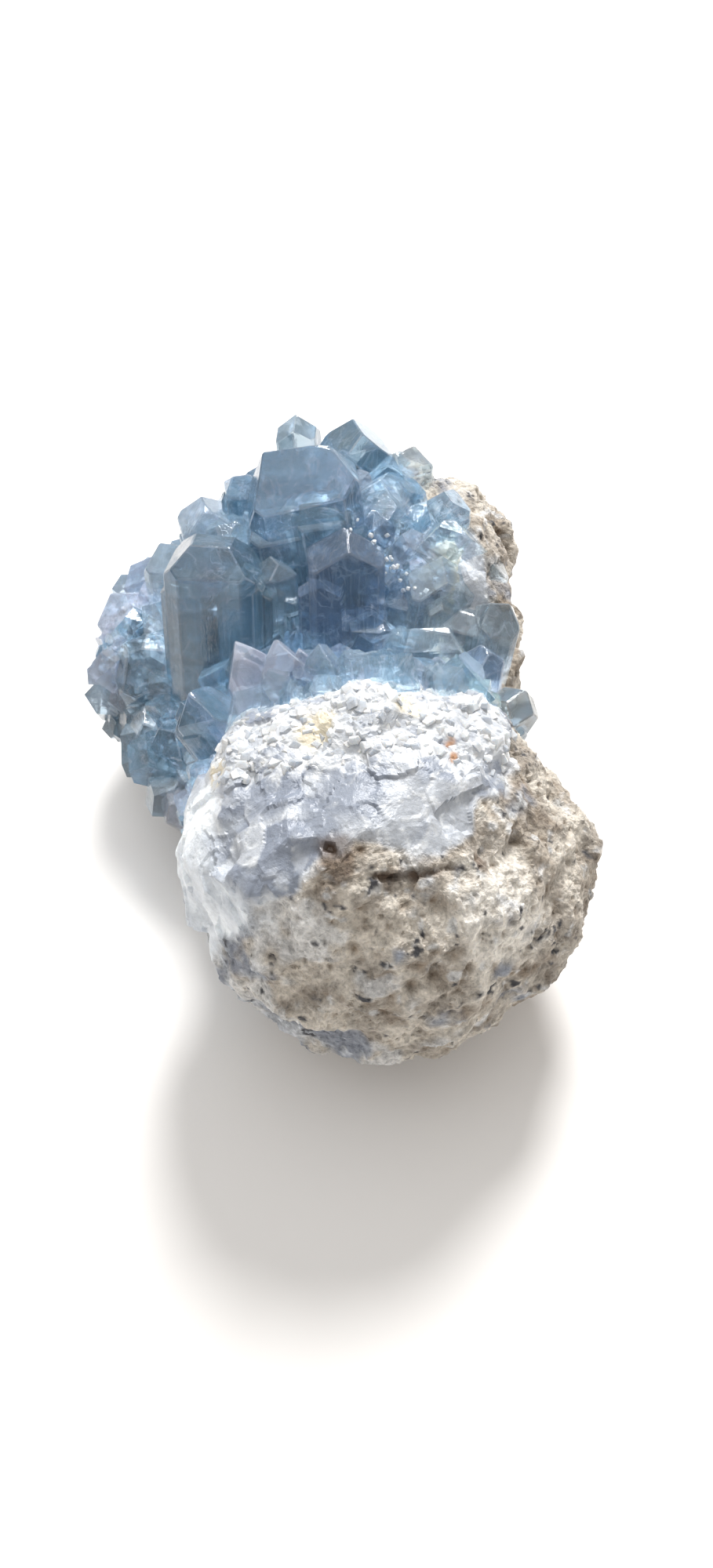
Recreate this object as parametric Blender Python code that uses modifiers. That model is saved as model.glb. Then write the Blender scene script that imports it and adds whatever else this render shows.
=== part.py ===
# Celestite geode.
# A lumpy stone of limestone and massive celestite, with an open hollow full of blue crystals.
# The stone is one solid, and the crystals with the skin that they stand on are another.
# Sizes are in millimetres, turned to metres where a mesh is made. +Z is up, the resting spot
# lies on Z = 0 and the near lobe of the stone points along -Y.

import math
import random

import bmesh
import bpy
from mathutils import Matrix, Vector, noise

MM = 0.001

# The stone
VOXEL = 1.6                 # grid of the joined lobes
ROUNDING_PASSES = 5         # smoothing after the lobes are joined
LUMP_SIZE = 17.0            # spacing and height of the broad lumps
LUMP_HEIGHT = 1.8
FACET_SIZE = 8.5            # spacing and height of the broken facets
FACET_HEIGHT = 2.6
GRAIN_SIZE = 3.5            # spacing and height of the rough grain
GRAIN_HEIGHT = 0.8
PIT_SIZE = 9.0              # spacing and depth of the pits in the weathered side
PIT_DEPTH = 2.4
PIT_SHARE = 0.34            # a pit's radius as a share of their spacing
LEDGE_HEIGHT = 1.1          # how far the massive celestite stands proud of the limestone
LEDGE_RAMP = (0.98, 1.04)   # shares of the celestite's radii between which the ledge falls away
BARE_RAMP = (0.8, 1.0)      # shares of a crusted part's radii between which the roughness starts
STONE_TRIANGLES = 3500

# The crust
CRUST_THICKNESS = 2.8
GAP = 0.45                  # clearance between the stone and its crust
ZONE_VOXEL = 2.5            # grid of the joined zones that the crust is cut to
SMALL_CRYSTALS = 120
SMALL_WIDTH = (3.6, 7.2)    # least and greatest width
SMALL_SPACING = 4.5
SEED = 29

# Lobes of the stone: centre, radii, turn about Z in degrees
LOBES = {
    "near": ((5, -33, 31), (29.8, 25.8, 27), 0),
    "near_low": ((7, -43.6, 22), (21.5, 16, 14), 0),
    "near_crest": ((6, -21, 43), (25, 13, 14.5), 0),
    "near_cheek": ((26.5, -31.5, 27), (13.3, 20.3, 18), -10),
    "core": ((0, 0, 20), (27, 30, 24), 0),
    "back": ((-5, 26, 32), (24, 17.5, 24), 0),
    "back_left": ((-17, 22, 32), (11, 13, 18.5), 0),
    "back_rim": ((9, 31, 39.5), (13.5, 11, 16), 0),
    "right_wall": ((18, 23, 31), (12.5, 22, 25), 10),
    "right_rim": ((19.5, 28, 41), (11, 12.5, 13.5), 10),
    "right_low": ((18.5, 2, 24), (13.5, 20, 19.5), 0),
    "left": ((-30.5, 19.5, 20), (13, 15.5, 17), 0),
    "left_low": ((-26.5, 6, 15), (11.5, 16, 14), 0),
}

# Hollows cut into the joined lobes: centre, radii
HOLLOWS = {
    "main": ((-1, 3, 62), (25, 17, 23)),
    "left_gap": ((-29, -11, 40), (10, 12, 17)),
}

# The massive celestite, inside this ball of the stone; the limestone is outside it: centre, radii
CELESTITE_CORE = ((-8, 6, 55), (37, 53, 47))

# Parts of the stone that carry the crust: centre, radii
DRUSE_ZONES = {
    "hollow": ((-8, 12, 58), (29, 28, 28)),
    "near_rim": ((3, -6, 49), (24, 10, 13)),
    "left": ((-34, 13, 32), (18, 24, 19)),
    "left_gap": ((-26, -12, 30), (10, 14, 16)),
}

# Habits: cuts along the prism (azimuth, share of the half width kept),
# and cuts at the tip (azimuth, elevation of the normal, distance that the cut stands off the tip
# in twelfths of the width)
SIX_SIDES = ((52, 0.84), (128, 0.84), (232, 0.84), (308, 0.84))
EIGHT_SIDES = ((45, 0.92), (135, 0.92), (225, 0.92), (315, 0.92))
HABITS = {
    "wedge": (SIX_SIDES, ((0, 51, 0.0), (180, 51, 0.0), (90, 32, 2.2), (270, 32, 2.2))),
    "chisel": (SIX_SIDES, ((90, 51, 0.0), (270, 51, 0.0), (0, 34, 2.2), (180, 34, 2.2))),
    "roof": (SIX_SIDES, ((270, 44, 0.0), (90, 34, 0.4), (0, 36, 2.6), (180, 26, 3.2), (290, 80, 0.1))),
    "pyramid": (EIGHT_SIDES, ((45, 48, 0.0), (135, 48, 0.0), (225, 48, 0.0), (315, 48, 0.0))),
    "slant": (SIX_SIDES, ((270, 58, 0.0), (90, 40, 1.0), (20, 38, 2.4), (160, 38, 2.4))),
    "block": (SIX_SIDES, ((0, 90, -1.0), (90, 40, 0.6), (270, 44, 0.4), (0, 42, 0.9), (180, 42, 0.9))),
    "spear": (SIX_SIDES, ((20, 30, 0.0), (160, 30, 0.0), (270, 42, 1.2), (90, 42, 1.2))),
    "blade": ((), ((90, 51, 0.0), (270, 51, 0.0), (0, 40, 1.6))),
    "point": (((60, 0.8), (240, 0.8)), ((20, 42, 0.0), (150, 38, 0.0), (270, 46, 0.2))),
    "tablet": (((130, 0.8), (310, 0.8)), ((0, 68, -0.5), (190, 40, 0.2), (80, 42, 0.6))),
}
SMALL_HABITS = ("blade", "point", "tablet")

# Large crystals: root, tip, width, depth, turn about the axis in degrees, habit
LARGE_CRYSTALS = (
    # back of the hollow, the tall clear one first
    ((-4.5, 18, 45), (-8, 24, 69.5), 19, 13, 6, "roof"),
    ((1, 33, 44), (2, 37, 64), 12, 9, 20, "wedge"),
    ((-7, 35, 46), (-8.5, 40, 64), 7, 6, -10, "pyramid"),
    ((10, 32, 44), (10.5, 35, 61), 9, 8, 35, "chisel"),
    ((6, 25, 44), (7, 28, 61), 9, 8, -25, "wedge"),
    ((-17, 25, 42), (-17.5, 28, 61), 6, 6, 10, "chisel"),
    ((-22, 22, 36), (-24, 26, 57), 10, 9, 15, "wedge"),
    ((-30, 19, 28), (-31, 25, 48), 9, 9, -15, "chisel"),
    # middle of the hollow
    ((-22, 4, 32), (-21, 13, 62), 15.5, 12, -8, "block"),
    ((-11, 8, 38), (-11.5, 12, 57), 6, 6, 30, "wedge"),
    ((0, 5, 32), (0.2, 14.5, 62), 12.5, 9, 5, "pyramid"),
    ((-5, -2, 30), (-6.5, 3, 45), 6.5, 6, 0, "chisel"),
    ((3, -2, 30), (2.5, 1.5, 45), 8, 6, 20, "chisel"),
    ((9.5, -1, 30), (9, 5, 48), 6, 6, -12, "wedge"),
    # right of the hollow
    ((14, 7, 36), (16, 13, 57), 11, 9, 15, "pyramid"),
    ((19, 1, 34), (20.5, 7, 51), 8, 7, -20, "block"),
    ((14, 21, 42), (15, 25.5, 58), 10, 8, 25, "block"),
    ((21, 14, 36), (23.5, 17, 54), 9, 8, 10, "wedge"),
    ((14, -1, 30), (14, 3, 50.5), 15, 7, 5, "chisel"),
    ((22, -6, 32), (23, -1, 50), 5.5, 6, 30, "wedge"),
    ((23, 1, 32), (25.5, 6, 53), 6.5, 9, 5, "chisel"),
    ((23, -10, 32), (29.5, -6.5, 46), 7, 7, 40, "pyramid"),
    # near rim, standing against the near lobe
    ((-10, -11, 38), (-17, -5, 56), 8.5, 5, 25, "spear"),
    ((-16, -13, 34), (-24, -9, 49), 11, 9, -15, "wedge"),
    ((-6, -12, 40), (-10.5, -6, 57.5), 9, 5, 0, "spear"),
    ((-1, -13, 44), (-3.5, -8, 59), 6, 4, -20, "spear"),
    ((6, -13, 44), (4, -9, 58), 6, 4, 15, "blade"),
    ((14, -12, 42), (14.5, -9, 56), 8, 5, -10, "spear"),
    # left lobe
    ((-31, 10, 14), (-36.5, 11, 39), 14, 13, 20, "block"),
    ((-35, 21, 18), (-41, 24, 37), 12, 11, -20, "chisel"),
    ((-30, 2, 12), (-36, 1, 30), 9, 8, 10, "wedge"),
    ((-26, -3, 16), (-31, -4, 32), 8, 7, -25, "chisel"),
    ((-25, -10, 12), (-31, -12, 23), 7, 7, 15, "wedge"),
    ((-19, -19, 26), (-26, -20, 37), 8, 8, 0, "pyramid"),
    ((-20, -26, 20), (-26.5, -27, 25), 6, 6, 30, "wedge"),
)

STONE_COLOUR = (0.60, 0.54, 0.46, 1.0)
CRYSTAL_COLOUR = (0.23, 0.34, 0.47, 1.0)


def clear_scene():
    for obj in list(bpy.data.objects):
        bpy.data.objects.remove(obj, do_unlink=True)


def make_collection(name):
    collection = bpy.data.collections.new(name)
    bpy.context.scene.collection.children.link(collection)
    return collection


def make_material(name, colour, roughness, transmission=0.0):
    material = bpy.data.materials.new(name)
    material.use_nodes = True
    shader = material.node_tree.nodes["Principled BSDF"]
    shader.inputs["Base Color"].default_value = colour
    shader.inputs["Roughness"].default_value = roughness
    shader.inputs["Metallic"].default_value = 0.0
    shader.inputs["Transmission Weight"].default_value = transmission
    material.diffuse_color = colour
    return material


def object_from(bm, name, collection):
    mesh = bpy.data.meshes.new(name)
    bm.to_mesh(mesh)
    bm.free()
    obj = bpy.data.objects.new(name, mesh)
    collection.objects.link(obj)
    return obj


def bake_modifiers(obj):
    """Replace an object's mesh with the shape that its modifiers give."""
    depsgraph = bpy.context.evaluated_depsgraph_get()
    mesh = bpy.data.meshes.new_from_object(obj.evaluated_get(depsgraph))
    obj.modifiers.clear()
    obj.data = mesh


def add_balls(bm, shapes):
    """Add a ball for each centre, radii and turn about Z, in millimetres and degrees."""
    for centre, radii, *turn in shapes:
        size = Matrix.Diagonal((*[radius * MM for radius in radii], 1.0))
        turned = Matrix.Rotation(math.radians(turn[0] if turn else 0.0), 4, "Z")
        place = Matrix.Translation(Vector(centre) * MM)
        bmesh.ops.create_icosphere(bm, subdivisions=4, radius=1.0, matrix=place @ turned @ size)


def add_remesh(obj, voxel):
    remesh = obj.modifiers.new("Joined", "REMESH")
    remesh.mode = "VOXEL"
    remesh.voxel_size = voxel * MM


def add_boolean(obj, operation, other):
    boolean = obj.modifiers.new("Cut", "BOOLEAN")
    boolean.operation = operation
    boolean.solver = "EXACT"
    boolean.object = other


def facet_push(point, size):
    """Height of the broken facet that a point lies on: each cell has a flat face of its own slope."""
    scaled = point / size
    cell = noise.voronoi(scaled)[1][0]
    slope = noise.cell_vector(cell * 7.3) - Vector((0.5, 0.5, 0.5))
    return slope.dot(scaled - cell) + 0.35 * slope.x


def ball_share(point, centre, radii):
    """Distance from a ball's centre as a share of its radius: 1 on its surface."""
    return math.sqrt(sum(((p - c) / r) ** 2 for p, c, r in zip(point, centre, radii)))


def ramp(value, low, high):
    return max(0.0, min(1.0, (value - low) / (high - low)))


def druse_share(point):
    return min(ball_share(point, centre, radii) for centre, radii in DRUSE_ZONES.values())


def stone_push(point):
    """Distance in millimetres that a point of the stone moves along its normal."""
    lumps = LUMP_HEIGHT * noise.fractal(point / LUMP_SIZE, 0.9, 2.0, 2)
    facets = FACET_HEIGHT * facet_push(point, FACET_SIZE)
    grain = GRAIN_HEIGHT * noise.noise(point / GRAIN_SIZE)
    limestone = ramp(ball_share(point, *CELESTITE_CORE), *LEDGE_RAMP)
    nearest = noise.voronoi(point / PIT_SIZE + Vector((4.1, 2.7, 9.3)))[0][0]
    pits = -PIT_DEPTH * limestone * max(0.0, 1.0 - nearest / PIT_SHARE)
    bare = ramp(druse_share(point), *BARE_RAMP)
    return lumps + bare * (facets + grain + pits + LEDGE_HEIGHT * (1.0 - limestone))


def roughen(obj):
    """Move every point of the stone along its normal, by the noise of its place."""
    bm = bmesh.new()
    bm.from_mesh(obj.data)
    bm.normal_update()
    for vert in bm.verts:
        vert.co += vert.normal * stone_push(vert.co / MM) * MM
    bm.to_mesh(obj.data)
    bm.free()


def keep_largest_body(obj):
    """Delete every loose part of a mesh but the one with most faces."""
    bm = bmesh.new()
    bm.from_mesh(obj.data)
    unseen = set(bm.verts)
    bodies = []
    while unseen:
        stack = [unseen.pop()]
        body = list(stack)
        while stack:
            vert = stack.pop()
            for edge in vert.link_edges:
                other = edge.other_vert(vert)
                if other in unseen:
                    unseen.remove(other)
                    stack.append(other)
                    body.append(other)
        bodies.append(body)
    bodies.sort(key=len)
    for body in bodies[:-1]:
        bmesh.ops.delete(bm, geom=body, context="VERTS")
    bm.to_mesh(obj.data)
    bm.free()


def cleave(bm, point, normal):
    """Cut a closed solid along a plane and close it with one flat face."""
    geometry = bm.verts[:] + bm.edges[:] + bm.faces[:]
    cut = bmesh.ops.bisect_plane(bm, geom=geometry, dist=1e-7, plane_co=point, plane_no=normal,
                                 clear_outer=True)
    rim = [item for item in cut["geom_cut"] if isinstance(item, bmesh.types.BMEdge)]
    if rim:
        bmesh.ops.contextual_create(bm, geom=rim)


def cut_resting_spot(obj):
    """Cut the stone off flat at Z = 0."""
    bm = bmesh.new()
    bm.from_mesh(obj.data)
    cleave(bm, Vector((0, 0, 0)), Vector((0, 0, -1)))
    bm.to_mesh(obj.data)
    bm.free()


def make_stone(collection, cutters):
    bm = bmesh.new()
    add_balls(bm, LOBES.values())
    stone = object_from(bm, "geode_rock", collection)
    add_remesh(stone, VOXEL)
    bake_modifiers(stone)

    bm = bmesh.new()
    add_balls(bm, HOLLOWS.values())
    hollows = object_from(bm, "hollow_cutter", cutters)
    add_remesh(hollows, VOXEL)
    bake_modifiers(hollows)
    add_boolean(stone, "DIFFERENCE", hollows)
    add_remesh(stone, VOXEL)
    smooth = stone.modifiers.new("Rounded", "SMOOTH")
    smooth.factor = 0.5
    smooth.iterations = ROUNDING_PASSES
    bake_modifiers(stone)

    roughen(stone)
    decimate = stone.modifiers.new("Fewer", "DECIMATE")
    decimate.ratio = STONE_TRIANGLES / (2 * len(stone.data.polygons))
    bake_modifiers(stone)
    cut_resting_spot(stone)
    keep_largest_body(stone)
    return stone


def direction(azimuth, elevation):
    flat = math.cos(math.radians(elevation))
    return Vector((flat * math.cos(math.radians(azimuth)), flat * math.sin(math.radians(azimuth)),
                   math.sin(math.radians(elevation))))


def make_crystal(name, root, tip, width, depth, turn, habit, collection, rng):
    """A closed crystal with flat faces, from its root to its tip."""
    root = Vector(root)
    tip = Vector(tip)
    length = (tip - root).length
    bm = bmesh.new()
    bmesh.ops.create_cube(bm, size=1.0)
    for vert in bm.verts:
        vert.co = Vector((vert.co.x * width, vert.co.y * depth, (vert.co.z + 0.5) * (length + 2.0)))
    prism_cuts, tip_cuts = HABITS[habit]
    for azimuth, keep in prism_cuts:
        normal = direction(azimuth + rng.uniform(-3, 3), 0)
        reach = abs(normal.x) * width / 2 + abs(normal.y) * depth / 2
        cleave(bm, normal * reach * (keep + rng.uniform(-0.03, 0.03)), normal)
    for azimuth, elevation, stand_off in tip_cuts:
        normal = direction(azimuth + rng.uniform(-4, 4), elevation + rng.uniform(-3, 3))
        push = stand_off * width / 12 + rng.uniform(-0.02, 0.02) * width
        cleave(bm, Vector((0, 0, length)) + normal * push, normal)

    axis = (tip - root).normalized()
    across = Vector((1, 0, 0)) - axis * axis.x
    across.normalize()
    turned = Matrix.Rotation(math.radians(turn), 3, axis)
    across = turned @ across
    frame = Matrix((across, axis.cross(across), axis)).transposed().to_4x4()
    place = Matrix.Translation(root) @ frame
    bmesh.ops.transform(bm, matrix=Matrix.Scale(MM, 4) @ place, verts=bm.verts)
    bmesh.ops.recalc_face_normals(bm, faces=bm.faces[:])
    return object_from(bm, name, collection)


def distance_to_line(point, start, end):
    line = end - start
    share = max(0.0, min(1.0, (point - start).dot(line) / line.length_squared))
    return (point - start - line * share).length


def clear_of_large(point):
    """Whether a point keeps away from the axes of the large crystals."""
    return all(distance_to_line(point, Vector(root), Vector(tip)) > 0.45 * min(width, depth)
               for root, tip, width, depth, *_ in LARGE_CRYSTALS)


def small_sites(stone, rng):
    """Places and directions for the small crystals, spaced over the crust."""
    faces = [(Vector(face.center) / MM, face.normal.copy()) for face in stone.data.polygons]
    faces = [site for site in faces if druse_share(site[0]) < 0.95]
    rng.shuffle(faces)
    chosen = []
    for centre, normal in faces:
        crowded = any((centre - other).length < SMALL_SPACING for other, _ in chosen)
        if not crowded and clear_of_large(centre + normal * 4.0):
            chosen.append((centre, normal))
    return chosen[:SMALL_CRYSTALS]


def scatter_small_crystals(stone, collection, rng):
    for number, (centre, normal) in enumerate(small_sites(stone, rng)):
        width = rng.uniform(*SMALL_WIDTH)
        depth = width * rng.uniform(0.75, 1.0)
        lean = Vector([rng.uniform(-0.45, 0.45) for _ in range(3)])
        axis = (normal + lean).normalized()
        tip = centre + axis * (CRUST_THICKNESS + width * rng.uniform(0.35, 0.8))
        make_crystal(f"small_{number:03d}", centre - axis, tip, width, depth, rng.uniform(0, 180),
                     rng.choice(SMALL_HABITS), collection, rng)


def swollen_copy(obj, name, distance, collection):
    """A copy of an object with every point moved outwards."""
    bm = bmesh.new()
    bm.from_mesh(obj.data)
    bm.normal_update()
    for vert in bm.verts:
        vert.co += vert.normal * distance * MM * vert.calc_shell_factor()
    return object_from(bm, name, collection)


def make_crust(stone, collection, cutters):
    rng = random.Random(SEED)
    growths = make_collection("crystal_growths")
    crust = swollen_copy(stone, "crystal_crust", CRUST_THICKNESS, collection)
    bm = bmesh.new()
    add_balls(bm, DRUSE_ZONES.values())
    zone = object_from(bm, "crust_zone_cutter", cutters)
    add_remesh(zone, ZONE_VOXEL)
    bake_modifiers(zone)
    add_boolean(crust, "INTERSECT", zone)
    bake_modifiers(crust)

    for number, crystal in enumerate(LARGE_CRYSTALS):
        make_crystal(f"large_{number:03d}", *crystal, growths, rng)
    scatter_small_crystals(stone, growths, rng)
    union = crust.modifiers.new("Grown together", "BOOLEAN")
    union.operation = "UNION"
    union.solver = "EXACT"
    union.operand_type = "COLLECTION"
    union.collection = growths
    bake_modifiers(crust)

    backing = swollen_copy(stone, "backing_cutter", GAP, cutters)
    add_boolean(crust, "DIFFERENCE", backing)
    bake_modifiers(crust)
    keep_largest_body(crust)
    for crystal in list(growths.objects):
        bpy.data.objects.remove(crystal, do_unlink=True)
    bpy.data.collections.remove(growths)
    return crust


def main():
    clear_scene()
    parts = make_collection("celestite_geode")
    cutters = make_collection("cutters")
    stone = make_stone(parts, cutters)
    crust = make_crust(stone, parts, cutters)
    stone.data.materials.append(make_material("limestone", STONE_COLOUR, 0.85))
    crust.data.materials.append(make_material("celestite", CRYSTAL_COLOUR, 0.2, 0.5))
    for cutter in cutters.objects:
        cutter.hide_render = True
        cutter.display_type = "WIRE"


main()
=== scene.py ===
# Celestite geode: the stone, the crystals in its hollow, the table and the light.
# Shapes are worked out in millimetres and written to the meshes in metres.
import itertools
import math
import bmesh
import bpy
import numpy as np
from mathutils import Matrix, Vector


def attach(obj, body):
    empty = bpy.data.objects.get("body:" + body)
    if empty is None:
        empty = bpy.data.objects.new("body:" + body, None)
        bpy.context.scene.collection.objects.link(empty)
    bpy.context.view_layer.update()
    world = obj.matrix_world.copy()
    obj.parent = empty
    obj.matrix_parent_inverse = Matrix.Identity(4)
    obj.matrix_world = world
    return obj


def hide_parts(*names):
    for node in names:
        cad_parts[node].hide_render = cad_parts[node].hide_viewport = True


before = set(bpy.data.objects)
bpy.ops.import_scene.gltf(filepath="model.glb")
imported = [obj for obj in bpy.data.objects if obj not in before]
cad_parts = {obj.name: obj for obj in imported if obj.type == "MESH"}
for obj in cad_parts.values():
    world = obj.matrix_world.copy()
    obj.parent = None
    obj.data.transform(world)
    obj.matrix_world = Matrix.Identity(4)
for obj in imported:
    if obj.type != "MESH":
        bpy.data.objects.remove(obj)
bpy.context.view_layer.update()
mm = 0.001


# Numbers from places

hashing = {
    "primes": (73856093, 19349663, 83492791), "seedPrime": 2654435761, "seedStart": 97,
    "stirs": ((15, 0x85EBCA6B), (13, 0xC2B2AE35), (16, 0x27D4EB2F)),   # bits to the right, factor
    "word": 0xFFFFFFFF, "highest": 0xFFFFFF,
}
around = tuple(itertools.product((-1, 0, 1), repeat=3))   # steps to a cell itself and the 26 next to it


def hashCells(cells, seed):   # one number from 0 to 1 for every whole-number cell
    c = cells.astype(np.int64).astype(np.uint64)
    x, y, z = [c[:, k] * np.uint64(prime) for k, prime in enumerate(hashing["primes"])]
    h = x ^ y ^ z ^ np.uint64(seed * hashing["seedPrime"] + hashing["seedStart"])
    for shift, factor in hashing["stirs"]:
        h &= np.uint64(hashing["word"])
        h ^= h >> np.uint64(shift)
        h *= np.uint64(factor)
    return (h >> np.uint64(8) & np.uint64(hashing["highest"])).astype(float) / hashing["highest"]


def smoothNoise(points, size, seed):   # random numbers on a grid, blended smoothly between, -1 to 1
    place = points / size
    cell = np.floor(place)
    t = place - cell
    t = t * t * (3 - 2 * t)
    total = np.zeros(len(points))
    for corner in itertools.product((0, 1), repeat=3):
        weight = np.prod(np.where(np.array(corner) == 1, t, 1 - t), axis=1)
        total += weight * hashCells(cell + corner, seed)
    return total * 2 - 1


def fractalNoise(points, size, octaves, seed):   # each octave is half as wide and half as high
    return sum(smoothNoise(points, size / 2 ** k, seed + k) / 2 ** k for k in range(octaves))


def cellCentres(cells, seed):   # a random place in every cell
    return cells + np.stack([hashCells(cells, seed + k) for k in range(3)], 1)


def brokenCells(points, size, seed, level=0.35):
    # Flat facets: every point takes the sloping plane of its nearest random centre.
    # Gives the height as a share of the size, the distance to the facet's edge, and a number per facet.
    place = points / size
    cell = np.floor(place)
    nearest = np.full(len(points), 9.0)
    second = nearest.copy()
    height = np.zeros(len(points))
    name = np.zeros(len(points))
    for step in around:
        near = cell + step
        gap = place - cellCentres(near, seed)
        distance = np.linalg.norm(gap, axis=1)
        closer = distance < nearest
        second = np.where(closer, nearest, np.minimum(second, distance))
        nearest = np.where(closer, distance, nearest)
        some = np.where(closer)[0]
        slope = np.stack([hashCells(near[some], seed + k) for k in (3, 4, 5)], 1) - 0.5
        height[some] = (slope * gap[some]).sum(1) + level * slope[:, 0]
        name[some] = hashCells(near[some], seed + 6)
    return height, second - nearest, name


def pitDepth(points, size, radius, share, seed):
    # Round pits: 1 in the middle of a pit and 0 outside it, in a share of the cells.
    place = points / size
    cell = np.floor(place)
    depth = np.zeros(len(points))
    for step in around:
        near = cell + step
        wide = radius * (0.5 + hashCells(near, seed + 3))
        there = hashCells(near, seed + 4) < share
        distance = np.linalg.norm(place - cellCentres(near, seed), axis=1)
        depth = np.maximum(depth, there * np.clip(1 - distance / wide, 0, 1))
    return depth


def ramp(value, low, high):   # 0 up to low, 1 from high, and smooth between
    t = np.clip((value - low) / (high - low), 0, 1)
    return t * t * (3 - 2 * t)


def ballShare(points, centre, radii):   # 1 on the ball's surface, less inside
    return np.linalg.norm((points - np.array(centre)) / np.array(radii), axis=1)


def lineDistance(points, route):   # distance from a broken line
    best = np.full(len(points), 1e9)
    for start, end in zip(route[:-1], route[1:]):
        start, end = np.array(start, float), np.array(end, float)
        line = end - start
        t = np.clip((points - start) @ line / (line @ line), 0, 1)
        best = np.minimum(best, np.linalg.norm(points - start - t[:, None] * line, axis=1))
    return best


# Meshes from arrays

def cadMesh(node):   # the solid's points in mm and its triangles, with loose corners merged
    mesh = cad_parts[node].data
    co = np.zeros(len(mesh.vertices) * 3, np.float32)
    mesh.vertices.foreach_get("co", co)
    mesh.calc_loop_triangles()
    tris = np.zeros(len(mesh.loop_triangles) * 3, np.int32)
    mesh.loop_triangles.foreach_get("vertices", tris)
    rounded = np.round(co.reshape(-1, 3).astype(float) / mm, 4)
    points, back = np.unique(rounded, axis=0, return_inverse=True)
    tris = back.reshape(-1)[tris].reshape(-1, 3)
    flat = (tris[:, 0] == tris[:, 1]) | (tris[:, 1] == tris[:, 2]) | (tris[:, 2] == tris[:, 0])
    return points, tris[~flat]


def sideCorners(tris):   # the two ends of each side, three sides to a triangle
    return tris[:, [[0, 1], [1, 2], [2, 0]]].reshape(-1, 2)


def edgeList(tris):   # every edge once, and for each triangle the numbers of its three edges
    pairs = np.sort(sideCorners(tris).astype(np.int64), axis=1)
    count = pairs.max() + 1
    keys, back = np.unique(pairs[:, 0] * count + pairs[:, 1], return_inverse=True)
    return np.stack([keys // count, keys % count], 1), back.reshape(-1, 3)


def splitLongEdges(points, tris, longest):
    # Edges longer than longest(place) are halved, and the triangles on them are cut to match,
    # until none is left.
    while True:
        edges, sides = edgeList(tris)
        middle = points[edges].mean(1)
        length = np.linalg.norm(points[edges[:, 0]] - points[edges[:, 1]], axis=1)
        cut = length > longest(middle)
        if not cut.any():
            return points, tris
        number = np.where(cut, len(points) + np.cumsum(cut) - 1, -1)
        points = np.concatenate([points, middle[cut]])
        mids = number[sides]
        count = (mids >= 0).sum(1)
        turn = np.zeros(len(tris), int)   # turned so that a single cut is first, and a single whole side last
        turn[count == 1] = (mids[count == 1] >= 0).argmax(1)
        turn[count == 2] = ((mids[count == 2] < 0).argmax(1) + 1) % 3
        order = (turn[:, None] + np.arange(3)) % 3
        a, b, c = np.take_along_axis(tris, order, 1).T
        p, q, r = np.take_along_axis(mids, order, 1).T
        one, two, three = count == 1, count == 2, count == 3
        tris = np.concatenate([
            tris[count == 0],
            np.stack([a, p, c], 1)[one], np.stack([p, b, c], 1)[one],
            np.stack([p, b, q], 1)[two], np.stack([a, p, q], 1)[two], np.stack([a, q, c], 1)[two],
            np.stack([a, p, r], 1)[three], np.stack([p, b, q], 1)[three],
            np.stack([r, q, c], 1)[three], np.stack([p, q, r], 1)[three]])


def columnSums(where, values, count):   # for each of count places, the sum of the rows that fall there
    return np.stack([np.bincount(where, values[:, k], count) for k in range(3)], 1)


def pointNormals(points, tris):   # the mean direction of the triangles round each point
    a, b, c = points[tris].transpose(1, 0, 2)
    face = np.cross(b - a, c - a)
    total = columnSums(tris.ravel(), np.repeat(face, 3, axis=0), len(points))
    return total / np.maximum(np.linalg.norm(total, axis=1, keepdims=True), 1e-12)


def relaxed(points, tris, passes, amount=0.5):   # each point moves towards the mean of its neighbours
    edges, _ = edgeList(tris)
    both = np.concatenate([edges, edges[:, ::-1]])
    count = np.bincount(both[:, 0], minlength=len(points))[:, None]
    for _ in range(passes):
        total = columnSums(both[:, 0], points[both[:, 1]], len(points))
        points = points + amount * (total / count - points)
    return points


valueKinds = {1: ("FLOAT", "value"), 3: ("FLOAT_VECTOR", "vector"), 4: ("FLOAT_COLOR", "color")}


def newPiece(name, points, faces, material, values=None, faceHue=None):
    mesh = bpy.data.meshes.new(name)
    faces = faces.tolist() if isinstance(faces, np.ndarray) else faces
    mesh.from_pydata((points * mm).tolist(), [], faces)
    for title, value in (values or {}).items():
        kind, field = valueKinds[value.size // len(value)]
        held = mesh.attributes.new(title, kind, "POINT")
        held.data.foreach_set(field, value.astype(np.float32).ravel())
    if faceHue is not None:   # one colour a face, held by its corners
        corner = np.repeat(faceHue, [len(face) for face in faces], axis=0).astype(np.float32)
        mesh.attributes.new("hue", "FLOAT_COLOR", "CORNER").data.foreach_set("color", corner.ravel())
    mesh.materials.append(material)
    piece = bpy.data.objects.new(name, mesh)
    bpy.context.scene.collection.objects.link(piece)
    return piece


def standFor(piece, node):
    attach(piece, "root")
    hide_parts(node)


# Materials

def colour(code):   # sRGB hex to linear red, green and blue
    parts = [int(code[k:k + 2], 16) / 255 for k in (1, 3, 5)]
    return np.array([v / 12.92 if v <= 0.04045 else ((v + 0.055) / 1.055) ** 2.4 for v in parts])


def rgba(code):
    return (*colour(code), 1.0)


def addNode(tree, kind, inputs=None, **settings):   # inputs: a value, or the output that feeds it
    made = tree.nodes.new("ShaderNode" + kind)
    for title, value in settings.items():
        setattr(made, title, value)
    for title, value in (inputs or {}).items():
        if isinstance(value, bpy.types.NodeSocket):
            tree.links.new(value, made.inputs[title])
        else:
            made.inputs[title].default_value = value
    return made


def newMaterial(name):
    material = bpy.data.materials.new(name)
    material.use_nodes = True
    tree = material.node_tree
    tree.nodes.clear()
    return material, tree, addNode(tree, "OutputMaterial")


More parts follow.
